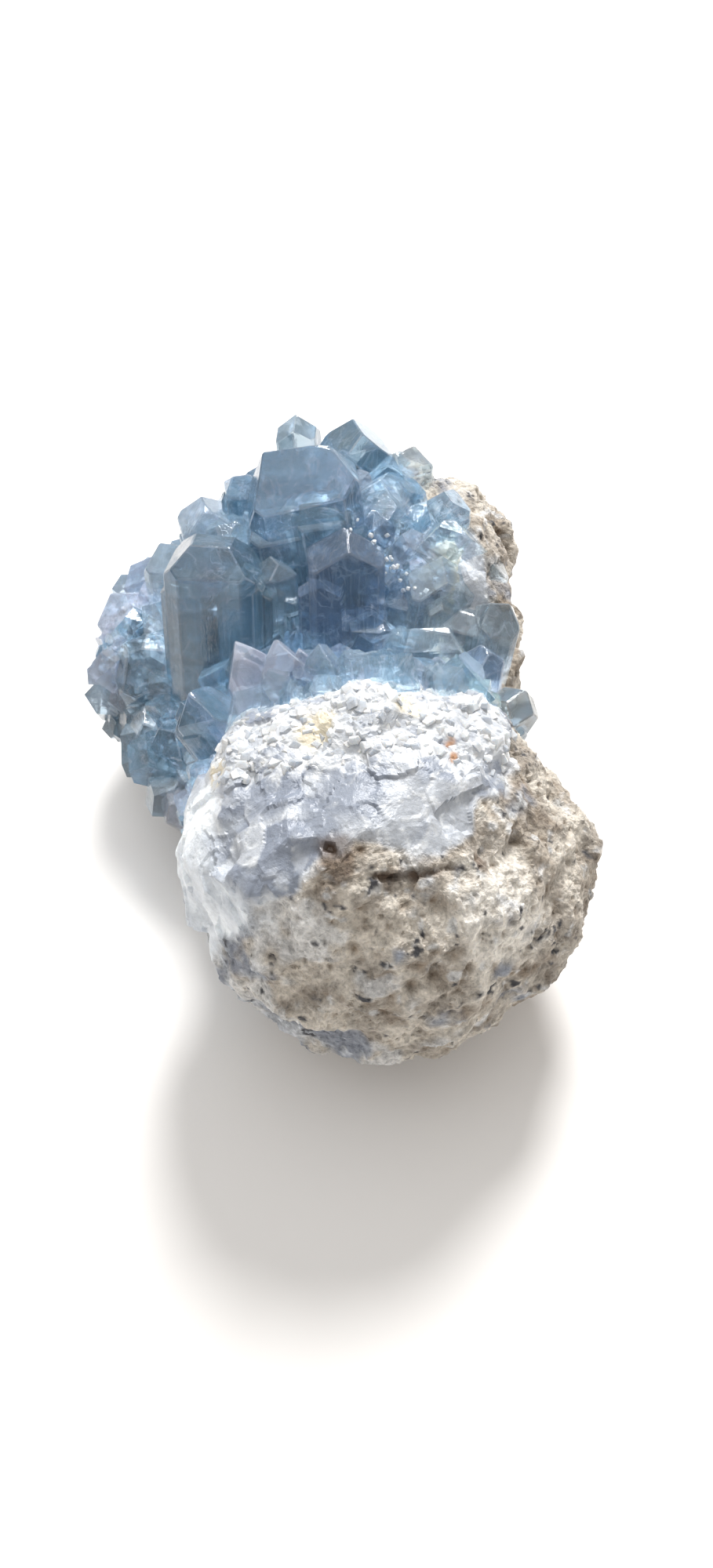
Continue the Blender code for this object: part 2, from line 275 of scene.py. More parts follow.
# Broken limestone and massive celestite: matt sandy grains that scatter the light, and next to them
# cloudy facets with a dull gloss. The celestite takes less of the grain.
stoneFinish = {
    "grain": {"Scale": 1 / (0.8 * mm), "Detail": 4.0, "Roughness": 0.65},   # grains of 0.8 mm
    "mottle": {"Scale": 1 / (2.2 * mm), "Detail": 5.0, "Roughness": 0.7},   # flecks of 2.2 mm
    "swing": {"To Min": 0.3, "To Max": 1.0},   # celestite, limestone
    "contrast": 1.6,
    "gloss": {"To Min": 0.32, "To Max": 0.92},   # celestite, limestone
    "bump": {"Strength": 1.0, "Distance": 0.6 * mm},
    "shader": {"IOR": 1.6, "Subsurface Weight": 0.25, "Subsurface Radius": (0.9, 1.0, 1.2),
               "Subsurface Scale": 0.9 * mm},
}


def brokenStone():
    look = stoneFinish
    material, tree, out = newMaterial("broken limestone and massive celestite")
    place = addNode(tree, "TexCoord").outputs["Object"]
    hue = addNode(tree, "Attribute", attribute_name="hue").outputs["Color"]
    host = addNode(tree, "Attribute", attribute_name="host").outputs["Fac"]
    grain = addNode(tree, "TexNoise", {"Vector": place, **look["grain"]}).outputs["Fac"]
    mottle = addNode(tree, "TexNoise", {"Vector": place, **look["mottle"]}).outputs["Fac"]
    both = addNode(tree, "Math", {0: grain, 1: mottle}, operation="ADD").outputs[0]
    centred = addNode(tree, "Math", {0: both, 1: 1.0}, operation="SUBTRACT").outputs[0]
    swing = addNode(tree, "MapRange", {"Value": host, **look["swing"]}).outputs[0]
    height = addNode(tree, "Math", {0: centred, 1: swing}, operation="MULTIPLY").outputs[0]
    stronger = {0: height, 1: look["contrast"], 2: 1.0}   # height times contrast, more or less than 1
    value = addNode(tree, "Math", stronger, operation="MULTIPLY_ADD").outputs[0]
    shade = addNode(tree, "VectorMath", {0: hue, "Scale": value}, operation="SCALE").outputs[0]
    rough = addNode(tree, "MapRange", {"Value": host, **look["gloss"]}).outputs[0]
    bump = addNode(tree, "Bump", {"Height": height, **look["bump"]}).outputs[0]
    surface = {"Base Color": shade, "Roughness": rough, "Normal": bump}
    shader = addNode(tree, "BsdfPrincipled", {**surface, **look["shader"]})
    tree.links.new(shader.outputs[0], out.inputs["Surface"])
    return material


# Sugary celestite: tiny white-blue crystals grown close together, which glint and let light in a little
sugarFinish = {
    "speck": {"Scale": 1 / (0.9 * mm), "Detail": 4.0, "Roughness": 0.7},   # crystals of 0.9 mm
    "shade": {"From Min": 0.3, "From Max": 0.7, "To Min": 0.82, "To Max": 1.12},
    "bump": {"Strength": 0.5, "Distance": 0.3 * mm},
    "shader": {"Roughness": 0.25, "IOR": 1.62, "Subsurface Weight": 0.5,
               "Subsurface Radius": (0.8, 1.0, 1.3), "Subsurface Scale": 1.2 * mm},
}


def sugaryCelestite():
    look = sugarFinish
    material, tree, out = newMaterial("sugary celestite")
    place = addNode(tree, "TexCoord").outputs["Object"]
    hue = addNode(tree, "Attribute", attribute_name="hue").outputs["Color"]
    speck = addNode(tree, "TexNoise", {"Vector": place, **look["speck"]}).outputs["Fac"]
    value = addNode(tree, "MapRange", {"Value": speck, **look["shade"]}).outputs[0]
    shade = addNode(tree, "VectorMath", {0: hue, "Scale": value}, operation="SCALE").outputs[0]
    bump = addNode(tree, "Bump", {"Height": speck, **look["bump"]}).outputs[0]
    surface = {"Base Color": shade, "Normal": bump}
    shader = addNode(tree, "BsdfPrincipled", {**surface, **look["shader"]})
    tree.links.new(shader.outputs[0], out.inputs["Surface"])
    return material


# Clear celestite: see-through with a glassy lustre, milky patches and pale veils inside, and growth
# lines along its sides. The patterns follow the attribute "along", a place in the crystal in mm.
clearFinish = {
    "milk": "#D3DDE8",
    "stretch": (1.6, 1.6, 0.09),   # growth lines 0.5 mm by 9 mm
    "growth": {"Scale": 1.3, "Detail": 3.0, "Roughness": 0.6},
    "cloud": {"Scale": 0.3, "Detail": 6.0, "Roughness": 0.7},   # milky patches of 3 mm
    "crackle": {"Scale": 0.16, "Detail": 3.0, "Roughness": 0.55, "Distortion": 1.2},   # veils 6 mm apart
    "gloss": {"From Min": 0.48, "From Max": 0.66, "To Min": 0.02, "To Max": 0.16},
    "milky": {"From Min": 0.55, "From Max": 0.75, "To Min": 0.0, "To Max": 0.6},
    "veil": {"From Min": 0.004, "From Max": 0.022, "To Min": 0.85, "To Max": 0.0},
    "streak": {"From Min": 0.56, "From Max": 0.64, "To Min": 0.0},
    "crackleHeight": 3.0, "bump": 0.4 * mm, "ior": 1.62,
}
# Each kind of crystal: the name of its material, its tint, the share of light let through, the depth
# and whiteness of its growth lines, and the colour and density of what absorbs the light inside it.
kinds = {
    "pale": ("pale clear celestite", "#C8D8E1", 0.86, 0.2, 0.2, "#B4CDDC", 15.0),
    "blue": ("blue clear celestite", "#A0BCCC", 0.87, 0.2, 0.35, "#8CB0CC", 45.0),
    "deep": ("deep blue celestite", "#A0B6CE", 0.85, 0.35, 0.5, "#7F9FCC", 45.0),
    "lilac": ("lilac grey celestite", "#E2E4EE", 0.78, 0.2, 0.3, "#C6C8DE", 12.0),
}
tints = {kind: tint for kind, (_, tint, *_) in kinds.items()}


def clearCelestite(name, clear, lines, whiteness, inside, density):
    look = clearFinish
    material, tree, out = newMaterial(name)
    hue = addNode(tree, "Attribute", attribute_name="hue").outputs["Color"]
    along = addNode(tree, "Attribute", attribute_name="along").outputs["Vector"]
    stretched = addNode(tree, "Mapping", {"Vector": along, "Scale": look["stretch"]}).outputs[0]
    ribs = addNode(tree, "TexNoise", {"Vector": stretched, **look["growth"]}).outputs["Fac"]
    cloud = addNode(tree, "TexNoise", {"Vector": along, **look["cloud"]}).outputs["Fac"]
    crackle = addNode(tree, "TexNoise", {"Vector": along, **look["crackle"]}).outputs["Fac"]
    rough = addNode(tree, "MapRange", {"Value": cloud, **look["gloss"]}).outputs[0]
    milky = addNode(tree, "MapRange", {"Value": cloud, **look["milky"]}).outputs[0]
    offLine = addNode(tree, "Math", {0: crackle, 1: 0.5}, operation="SUBTRACT").outputs[0]
    near = addNode(tree, "Math", {0: offLine}, operation="ABSOLUTE").outputs[0]
    veil = addNode(tree, "MapRange", {"Value": near, **look["veil"]}).outputs[0]
    paler = {"Value": ribs, **look["streak"], "To Max": whiteness}
    streak = addNode(tree, "MapRange", paler).outputs[0]
    lined = addNode(tree, "Math", {0: veil, 1: streak}, operation="MAXIMUM").outputs[0]
    white = addNode(tree, "Math", {0: milky, 1: lined}, operation="MAXIMUM").outputs[0]
    both = {0: white, 6: hue, 7: rgba(look["milk"])}   # share, first and second colour
    shade = addNode(tree, "Mix", both, data_type="RGBA", clamp_factor=True).outputs[2]
    relief = addNode(tree, "Math", {0: ribs, 1: cloud}, operation="ADD").outputs[0]
    uneven = {0: crackle, 1: look["crackleHeight"], 2: relief}
    height = addNode(tree, "Math", uneven, operation="MULTIPLY_ADD").outputs[0]
    rise = {"Height": height, "Strength": lines, "Distance": look["bump"]}
    bump = addNode(tree, "Bump", rise).outputs[0]
    surface = {"Base Color": shade, "Roughness": rough, "Normal": bump}
    glassy = {"IOR": look["ior"], "Transmission Weight": clear}
    shader = addNode(tree, "BsdfPrincipled", {**surface, **glassy})
    tree.links.new(shader.outputs[0], out.inputs["Surface"])
    absorbing = addNode(tree, "VolumeAbsorption", {"Color": rgba(inside), "Density": density})
    tree.links.new(absorbing.outputs[0], out.inputs["Volume"])
    return material


# The stone

celestiteCore = ((-8, -8, 55), (36, 46, 44))   # massive celestite inside this ball: centre, radii
celestiteFront = ((0.357, -0.921, -0.157), 32.1, 40)   # and behind this plane: normal, place, depth
druseZones = (   # parts of the stone that carry the crust: centre and radii of balls
    ((-8, 12, 58), (29, 28, 28)),
    ((3, -6, 49), (24, 10, 13)),
    ((-34, 13, 32), (18, 24, 19)),
    ((-26, -12, 30), (10, 14, 16)),
)
stone = {
    "seenEdge": 0.72, "hiddenEdge": 1.4,   # mm, longest edge where it shows most and elsewhere
    "seen": (12, 30), "covered": (0.7, 0.9),  # height less half of y in mm, share of the druse zones
    "bend": (1.2, 5),   # mm, how far and how wide the edges of facets are bent
    "shelf": (5.5, (2, 14), (24, 30)),   # mm, celestite further down on the right, and over which x
    "unevenBorder": (0.08, 9), "border": (0.97, 1.02),
    "crest": ((50, 56), (10, 16), (-34, -28)),   # mm, where sugar begins in z and -y and ends in y
    "facets": (6.5, 2.9, 1.25), "facetHeight": (0.22, 0.13, 0.07), "crestHeight": 0.26,
    "pits": ((7.0, 0.3, 0.45, 51), (3.1, 0.38, 0.4, 61), (1.5, 0.42, 0.45, 71)),   # mm, radius, share, seed
    "pitDepth": (1.5, 0.9, 0.45), "pitShade": (1.2, 0.9, 0.7), "crackDepth": 1.3,
    "lumps": (0.75, 5), "roughFacets": (0.35, 0.6),   # mm, of the limestone
    "crackWidth": (0.1, 0.9), "crackBends": (0.5, 1.6),   # mm
    "crackPath": ((-2, -43, 56.5), (2.6, -46.3, 54.6), (6.9, -46.1, 53.2), (11.2, -45.8, 53.7),
                  (19.3, -41.8, 50.7)),
    "colours": {
        "white": "#B6BAC0", "grey": "#868D9A", "bright": "#DDDFE1", "frontWhite": "#F0F5F9",
        "tan": "#CCC4B8", "dull": "#A1988D", "brown": "#77644F", "dark": "#47474A", "chalk": "#EFE9DF",
        "cream": "#E6D9BC", "crack": "#5B4632", "rust": "#B5793A",
    },
    "clearSpots": (   # grey see-through parts of the celestite: place, radius
        ((1.5, -33.7, 58.2), 8), ((-10.4, -31, 54.2), 6), ((-3.4, -40.6, 56.6), 4.5),
        ((22.9, -39.1, 50.2), 4.5)),
    "frontWhitePart": (52, 6, (20, 30)),   # mm, below this height, how soft, its reach in -y
    "chalkSpot": ((20, -46, 43), 14, 6, 4),   # mm, place, radius, full inside this, bends of its rim
    "spots": (   # colour, most, full inside this share; height, width, octaves and seed of the rim's bends
        ("cream", 0.8, 0.5, (1.2, 3, 3, 131),
         (((-18.6, -25.6, 49.7), 3.0), ((-4.3, -22.4, 56.1), 4.0), ((9, -19, 58), 3.5))),
        ("crack", 0.65, 0.4, (1.4, 2.5, 3, 151),
         (((-0.6, -44.6, 55.9), 4.2), ((6.9, -46.1, 53.2), 3.0), ((19.3, -41.8, 50.7), 2.2))),
        ("rust", 0.8, 0.4, (0.5, 1, 1, 141), (((15.7, -25.7, 57.6), 1.3), ((16, -28, 56.9), 1.0))),
    ),
    # Soft patches below and above the chalk and the pits: colour, most, width, seed, more for each mm
    # to the right of x, from, to
    "underClouds": (("dull", 1.0, 4, 111, 0.0, 0, -0.2, 0.8), ("brown", 0.5, 7, 113, 0.012, 5, 0.1, 0.9)),
    "overClouds": (
        ("grey", 0.85, 8, 125, -0.025, 2, 0.0, 0.5),
        ("bright", 0.55, 5, 127, -0.02, 4, 0.15, 0.7),
    ),
    "specks": (   # colour, most, widths and seeds of two noises, share of the second, from, to
        ("bright", 0.6, (2.2, 1.0), 123, 0.6, 0.6, 0.9),
        ("dark", 1.0, (2.0, 0.8), 121, 0.7, 0.8, 1.0),
    ),
}


def druseShare(points):   # less than 1 where crystals grow
    return np.min([ballShare(points, *zone) for zone in druseZones], axis=0)


def stoneEdge(place):   # mm, longest edge at a place: shorter where it is seen and not under the crystals
    seen = ramp(place[:, 2] - 0.5 * place[:, 1], *stone["seen"])
    covered = 1 - ramp(druseShare(place), *stone["covered"])
    return stone["hiddenEdge"] + (stone["seenEdge"] - stone["hiddenEdge"]) * seen * (1 - covered)


def mixed(first, second, share):   # rows of the first colour, turned to the second by their share
    return first + (second - first) * share[:, None]


def spotShare(points, centre, radius, inner, bend):   # 1 inside inner, 0 past the radius
    return 1 - ramp(np.linalg.norm(points - np.array(centre), axis=1) + bend, inner, radius)


def stoneMarks(points):
    # Numbers for every point: host is 0 on celestite and 1 on limestone, crest is 1 in the sugary part,
    # crack is 1 along the crack, each of facets is height, distance to the edge and a number for the
    # facet, and each of pits is 1 in the middle of a pit.
    far, wide = stone["bend"]
    warp = points + far * np.stack([smoothNoise(points, wide, seed) for seed in (3, 4, 5)], 1)
    drop, begins, ends = stone["shelf"]
    shelf = drop * ramp(points[:, 0], *begins) * (1 - ramp(points[:, 0], *ends))
    normal, offset, depth = celestiteFront
    front = 1 + (warp @ np.array(normal) - offset - shelf) / depth
    amount, wide = stone["unevenBorder"]
    share = np.maximum(ballShare(warp, *celestiteCore), front) + amount * fractalNoise(points, wide, 5, 11)
    up, near, far = stone["crest"]
    high, wide = stone["crackBends"]
    fromCrack = lineDistance(points, stone["crackPath"]) + high * smoothNoise(points, wide, 91)
    return {
        "host": ramp(share, *stone["border"]),
        "crest": ramp(points[:, 2], *up) * ramp(-points[:, 1], *near) * ramp(points[:, 1], *far),
        "crack": 1 - ramp(fromCrack, *stone["crackWidth"]),
        "facets": [brokenCells(place, size, seed)
                   for place, size, seed in zip((warp, warp, points), stone["facets"], (21, 31, 41))],
        "pits": [pitDepth(place, *pit) for place, pit in zip((warp, points, points), stone["pits"])],
    }


def stoneLift(points, marks):   # mm along the normal: facets, and on limestone lumps and pits too
    big, mid, small = [height for height, _, _ in marks["facets"]]
    (bigSize, midSize, smallSize), (bigHigh, midHigh, smallHigh) = stone["facets"], stone["facetHeight"]
    smallHigh = smallHigh + stone["crestHeight"] * marks["crest"]
    celestite = bigSize * bigHigh * big + midSize * midHigh * mid + smallSize * smallHigh * small
    (amount, wide), (midRough, smallRough) = stone["lumps"], stone["roughFacets"]
    limestone = amount * fractalNoise(points, wide, 5, 81) + smallRough * small + midRough * mid
    limestone -= sum(depth * pit for depth, pit in zip(stone["pitDepth"], marks["pits"]))
    host = marks["host"]
    return celestite * (1 - host) + limestone * host - stone["crackDepth"] * marks["crack"]


def celestiteHue(points, marks, paints):   # white, with grey clear facets, sugary seams, and whiter low down on the front
    (_, _, bigName), (_, midEdge, midName), (_, _, smallName) = marks["facets"]
    byFacet = 1.3 * (bigName - 0.5) + 0.7 * (midName - 0.5)
    clear = ramp(0.6 * fractalNoise(points, 9, 4, 101) + byFacet, -0.1, 0.5)
    bend = fractalNoise(points, 4, 3, 107)
    for place, radius in stone["clearSpots"]:
        spot = spotShare(points, place, radius, 0.55 * radius, 0.25 * radius * bend)
        clear = np.maximum(clear, 0.85 * spot)
    seam = 1 - ramp(midEdge + 0.15 * smoothNoise(points, 1.5, 103), 0.0, 0.22)
    sugary = ramp(0.4 * smallName + 0.6 * marks["crest"] + 0.7 * seam * (1 - 0.6 * clear), 0.5, 1.1)
    hue = mixed(np.tile(paints["white"], (len(points), 1)), paints["grey"], clear)
    hue = mixed(hue, paints["bright"], 0.9 * sugary)
    height, soft, reach = stone["frontWhitePart"]
    below = ramp(height + 3 * smoothNoise(points, 4, 105) - points[:, 2], 0, soft)
    below *= ramp(-points[:, 1], *reach)
    return mixed(hue, paints["frontWhite"], (0.95 - 0.3 * clear) * below)


def clouded(hue, points, clouds, paints):   # soft patches, one kind after the other
    for title, most, wide, seed, slope, start, low, high in clouds:
        cloud = fractalNoise(points, wide, 4, seed) + slope * (points[:, 0] - start)
        hue = mixed(hue, paints[title], most * ramp(cloud, low, high))
    return hue


def limestoneHue(points, marks, paints):   # tan and dull, brown on the right and in pits, grey on the left
    hue = np.tile(paints["tan"], (len(points), 1))
    hue = clouded(hue, points, stone["underClouds"], paints)
    centre, radius, inner, bends = stone["chalkSpot"]
    chalk = spotShare(points, centre, radius, inner, bends * fractalNoise(points, 5, 4, 117))
    hue = mixed(hue, paints["chalk"], 0.85 * chalk)
    pits = sum(shade * pit for shade, pit in zip(stone["pitShade"], marks["pits"]))
    hue = mixed(hue, paints["brown"], np.clip(pits, 0, 0.9))
    hue = clouded(hue, points, stone["overClouds"], paints)
    for title, most, (wide, fine), seed, share, low, high in stone["specks"]:
        speck = smoothNoise(points, wide, seed) + share * smoothNoise(points, fine, seed + 1)
        hue = mixed(hue, paints[title], most * ramp(speck, low, high))
    return hue


def stoneSurface():   # the rock split fine, smoothed, and moved along its normals by stoneLift
    points, tris = splitLongEdges(*cadMesh("geode_rock"), stoneEdge)
    points = relaxed(points, tris, 3)
    normals = pointNormals(points, tris)
    marks = stoneMarks(points)
    points = points + normals * stoneLift(points, marks)[:, None]
    points[:, 2] = np.maximum(points[:, 2], 0)   # flat on the table

    paints = {title: colour(code) for title, code in stone["colours"].items()}
    hue = mixed(celestiteHue(points, marks, paints), limestoneHue(points, marks, paints), marks["host"])
    for title, most, inner, (high, wide, octaves, seed), places in stone["spots"]:
        bend = high * fractalNoise(points, wide, octaves, seed)
        for place, radius in places:
            hue = mixed(hue, paints[title], most * spotShare(points, place, radius, inner * radius, bend))
    hue = mixed(hue, paints["crack"], 0.9 * marks["crack"])
    hue = np.concatenate([np.clip(hue, 0, 1), np.ones((len(points), 1))], 1)
    piece = newPiece("stone", points, tris, brokenStone(), {"hue": hue, "host": marks["host"]})
    standFor(piece, "geode_rock")
    print("stone:", len(tris), "triangles")
    return points, normals, marks["host"]


# The bed of the crystals: the stone's surface inside the druse zones, lifted and closed below

bed = {
    "thickness": 2.3, "edge": 0.9, "sunk": 0.4, "below": 0.9,   # mm, the longest edge among them
    "facets": ((3.2, 1.5), (1.5, 0.7)),   # mm, width and height
    "colours": ("#98A8B7", "#D0D9E1", "#5F748B"),   # blue, bright, deep
    "hollows": 0.4,   # painted shade: how much darker the low facets are
    "fade": (0.8, 1.0), "away": (1.02, 20),   # shares of the druse zones, and mm more edge for each share
    "rim": (0.85, (0.8, 0.94), (12, 20)),   # limestone at the edge: most, from which shares and which x
    "rimBends": (0.12, 4),   # share, width in mm
}


def bedEdge(place):   # mm, longest edge, and longer away from the crystals
    start, more = bed["away"]
    return bed["edge"] + more * np.maximum(druseShare(place) - start, 0)


def crystalBed(material):   # a top that is lifted, a bottom inside the stone, and a wall round the rim
    points, tris = splitLongEdges(*cadMesh("geode_rock"), bedEdge)
    tris = tris[druseShare(points[tris].mean(1)) < 1.0]
    used, back = np.unique(tris, return_inverse=True)
    tris = back.reshape(-1, 3)
    points = points[used]
    count = len(points)
    normals = pointNormals(points, tris)
    fade = 1 - ramp(druseShare(points), *bed["fade"])   # 1 well inside the zones, 0 at their edge
    (midSize, midHigh), (smallSize, smallHigh) = bed["facets"]
    mid, _, midName = brokenCells(points, midSize, 201)
    small, _, smallName = brokenCells(points, smallSize, 211)
    lift = bed["thickness"] * fade + (midHigh * mid + smallHigh * small) * fade - bed["sunk"]
    top = points + normals * lift[:, None]
    bottom = points - normals * bed["below"]
    edges, sides = edgeList(tris)
    onRim = np.bincount(sides.ravel(), minlength=len(edges)) == 1
    start, end = sideCorners(tris)[onRim[sides.ravel()]].T
    wall = np.concatenate([np.stack([end, start, start + count], 1),
                           np.stack([end, start + count, end + count], 1)])
    faces = np.concatenate([tris, tris[:, ::-1] + count, wall])

    blue, bright, deep = [colour(code) for code in bed["colours"]]
    hue = mixed(np.tile(blue, (count, 1)), bright, ramp(smallName, 0.5, 1.0))
    hue = mixed(hue, deep, 0.7 * ramp(midName, 0.6, 0.9))
    # Painted shade: the low facets between the crystals are darkened in the colour
    hue *= 1 - bed["hollows"] * ramp(-mid, 0.0, 0.3)[:, None]
    most, outer, right = bed["rim"]
    bend, wide = bed["rimBends"]
    rim = ramp(druseShare(points) + bend * smoothNoise(points, wide, 221), *outer)
    rim *= ramp(points[:, 0], *right)
    hue = mixed(hue, colour(stone["colours"]["cream"]), most * rim)
    hue = np.concatenate([hue, np.ones((count, 1))], 1)
    points, hue = np.concatenate([top, bottom]), np.concatenate([hue, hue])
    piece = newPiece("crystalBed", points, faces, material, {"hue": hue})
    standFor(piece, "crystal_crust")
    print("bed:", len(faces), "triangles")
    return top, normals, fade


# The crystals

sixSides = ((52, 0.84), (128, 0.84), (232, 0.84), (308, 0.84))   # azimuth, share of the half width kept
eightSides = ((45, 0.92), (135, 0.92), (225, 0.92), (315, 0.92))
# Cuts along the prism, then cuts at the tip: azimuth, elevation, stand-off in twelfths of the width
habits = {
    "wedge": (sixSides, ((0, 51, 0), (180, 51, 0), (90, 32, 2.2), (270, 32, 2.2))),
    "chisel": (sixSides, ((90, 51, 0), (270, 51, 0), (0, 34, 2.2), (180, 34, 2.2))),
    "roof": (sixSides, ((270, 44, 0), (90, 34, 0.4), (0, 36, 2.6), (180, 26, 3.2), (311, 68, 0.5))),
    "pyramid": (eightSides, ((45, 48, 0), (135, 48, 0), (225, 48, 0), (315, 48, 0))),
    "block": (sixSides, ((0, 90, -1), (90, 40, 0.6), (270, 44, 0.4), (0, 42, 0.9), (180, 42, 0.9))),
    "spear": (sixSides, ((20, 30, 0), (160, 30, 0), (270, 42, 1.2), (90, 42, 1.2))),
    "blade": ((), ((90, 51, 0), (270, 51, 0), (0, 40, 1.6))),
    "point": (((60, 0.8), (240, 0.8)), ((20, 42, 0), (150, 38, 0), (270, 46, 0.2))),
}
largeCrystals = (   # root, tip, width, depth, turn about the axis, habit, kind
    ((-4.5, 18, 45), (-8, 24, 69.5), 19, 13, 6, "roof", "blue"),
    ((1, 33, 44), (2, 37, 64), 12, 9, 20, "wedge", "blue"),
    ((-7, 35, 46), (-8.5, 40, 64), 7, 6, -10, "pyramid", "pale"),
    ((10, 32, 44), (10.5, 35, 61), 9, 8, 35, "chisel", "pale"),
    ((6, 25, 44), (7, 28, 61), 9, 8, -25, "wedge", "pale"),
    ((-17, 25, 42), (-17.5, 28, 61), 6, 6, 10, "chisel", "blue"),
    ((-22, 22, 36), (-24, 26, 57), 10, 9, 15, "wedge", "pale"),
    ((-30, 19, 28), (-31, 25, 48), 9, 9, -15, "chisel", "pale"),
    ((-22, 4, 32), (-21, 13, 62), 15.5, 12, -8, "block", "blue"),
    ((-11, 8, 38), (-11.5, 12, 57), 6, 6, 30, "wedge", "pale"),
    ((0, 5, 32), (0.2, 14.5, 62), 12.5, 9, 5, "pyramid", "deep"),
    ((-5, -2, 30), (-6.5, 3, 45), 6.5, 6, 0, "chisel", "blue"),
    ((3, -2, 30), (2.5, 1.5, 45), 8, 6, 20, "chisel", "blue"),
    ((9.5, -1, 30), (9, 5, 48), 6, 6, -12, "wedge", "pale"),
    ((14, 7, 36), (16, 13, 57), 11, 9, 15, "pyramid", "pale"),
    ((19, 1, 34), (20.5, 7, 51), 8, 7, -20, "block", "pale"),
    ((14, 21, 42), (15, 25.5, 58), 10, 8, 25, "block", "pale"),
    ((21, 14, 36), (23.5, 17, 54), 9, 8, 10, "wedge", "pale"),
    ((14, -1, 30), (14, 3, 50.5), 15, 7, 5, "chisel", "pale"),
    ((22, -6, 32), (23, -1, 50), 5.5, 6, 30, "wedge", "deep"),
    ((23, 1, 32), (25.5, 6, 53), 6.5, 9, 5, "chisel", "pale"),
    ((23, -10, 32), (29.5, -6.5, 46), 7, 7, 40, "pyramid", "pale"),
    ((-10, -11, 38), (-17, -5, 56), 8.5, 5, 25, "spear", "lilac"),
    ((-16, -13, 34), (-24, -9, 49), 11, 9, -15, "spear", "blue"),
    ((-6, -12, 40), (-10.5, -6, 57.5), 9, 5, 0, "spear", "lilac"),
    ((-1, -13, 44), (-3.5, -8, 59), 6, 4, -20, "spear", "pale"),
    ((6, -13, 44), (4, -9, 58), 6, 4, 15, "blade", "pale"),
    ((14, -12, 42), (14.5, -9, 56), 8, 5, -10, "spear", "pale"),
    ((-31, 10, 14), (-36.5, 11, 39), 14, 13, 20, "block", "blue"),
    ((-35, 21, 18), (-41, 24, 37), 13, 11, -20, "chisel", "lilac"),
    ((-30, 2, 12), (-36, 1, 30), 9, 8, 10, "wedge", "pale"),
    ((-26, -3, 16), (-31, -4, 32), 8, 7, -25, "chisel", "blue"),
    ((-25, -10, 12), (-31, -12, 23), 7, 7, 15, "wedge", "lilac"),
    ((-19, -19, 26), (-26, -20, 37), 8, 8, 0, "pyramid", "pale"),
    ((-20, -26, 20), (-26.5, -27, 25), 6, 6, 30, "wedge", "blue"),
)
growth = {
    "companions": 3, "companionsFrom": 7,   # smaller crystals side by side with one wider than this in mm
    "apart": 0.36, "companionWidth": (0.35, 0.6), "companionLength": (0.6, 0.9),   # shares of the large one
    "shade": (0.68, 1.18), "crystalShade": (0.92, 1.06),   # of one face, of a whole crystal
    "uneven": {"side": 3, "sideKeep": 0.03, "tip": (4, 3), "tipKeep": 0.02},   # degrees, shares
    "merged": 0.3, "phase": 37.0,   # mm, corners nearer than this are one, and between patterns
}
frostAndEdgeHighlight = {"colour": "#F4F7FA", "whiteness": (0.0, 0.8), "width": 0.22}   # on the bevelled edges: partly rubbed frosting, partly a painted highlight of edges catching the light; width in mm
glint = {   # small flats at the tips that catch the lamp, on crystals up to a width in mm
    "normal": (0.104, 0.006, 0.994), "share": 0.75, "depth": (0.01, 0.05), "widest": 17,
}
smallCrystals = {
    "medium": (170, (3.8, 8.0), 3.7), "fine": (900, (1.3, 3.2), 1.5),   # how many, widths, spacing in mm
    "habits": ("blade", "point", "spear", "wedge", "chisel"),
    "middle": (-4, 6), "middleRadius": 17,   # mm, bluer inside this circle
    "inside": ("blue", "blue", "pale", "deep"), "outside": ("pale", "pale", "lilac", "blue"),
    "lean": 0.45, "root": 0.6, "length": (0.45, 0.9), "depth": (0.7, 1.0),   # shares of the width
    "shade": (0.8, 1.2), "crystalShade": (0.9, 1.1),
    "fade": 0.15, "clearance": 0.42,   # of the bed, from a large crystal in shares of its width
}


def flatSolid(normals, offsets):
    # The solid inside all the planes: every three planes meet in a point, the points that lie inside
    # the other planes are its corners, and the corners of one plane, in order of angle, are a face.
    tiny, touching = 1e-5, 2.5e-3   # mm
    trios = np.array(list(itertools.combinations(range(len(normals)), 3)))
    trios = trios[np.abs(np.linalg.det(normals[trios])) > tiny]
    corners = np.linalg.solve(normals[trios], offsets[trios][:, :, None])[:, :, 0]
    corners = corners[(corners @ normals.T <= offsets + tiny).all(1)]
    corners = np.unique(np.round(corners, 3), axis=0)
    faces = []
    for normal, offset in zip(normals, offsets):
        on = np.where(np.abs(corners @ normal - offset) < touching)[0]
        if len(on) < 3:
            continue
        spread = corners[on] - corners[on].mean(0)
        across = spread[0] - normal * (spread[0] @ normal)
        up = np.cross(normal, across)
        faces.append(on[np.argsort(np.arctan2(spread @ up, spread @ across))].tolist())
    return corners, faces


def worn(corners, faces, width):   # the same solid with its edges rubbed flat, and which faces are the flats
    shape = bmesh.new()
    made = [shape.verts.new(corner) for corner in corners]
    for face in faces:
        shape.faces.new([made[k] for k in face])
    bmesh.ops.remove_doubles(shape, verts=shape.verts, dist=growth["merged"])
    flats = bmesh.ops.bevel(shape, geom=shape.edges[:], offset=width, segments=1, affect="EDGES",
                            profile=0.5, clamp_overlap=True)
    rubbedAndHighlit = set(flats["faces"])
    shape.verts.index_update()
    corners = np.array([v.co[:] for v in shape.verts])
    faces = [[v.index for v in f.verts] for f in shape.faces]
    edge = np.array([f in rubbedAndHighlit for f in shape.faces])
    shape.free()
    return corners, faces, edge


def direction(azimuth, elevation):   # degrees to a length of 1
    turn, rise = math.radians(azimuth), math.radians(elevation)
    return np.array([math.cos(rise) * math.cos(turn), math.cos(rise) * math.sin(turn), math.sin(rise)])


boxSides = ((1, 0, 0), (-1, 0, 0), (0, 1, 0), (0, -1, 0), (0, 0, 1), (0, 0, -1))


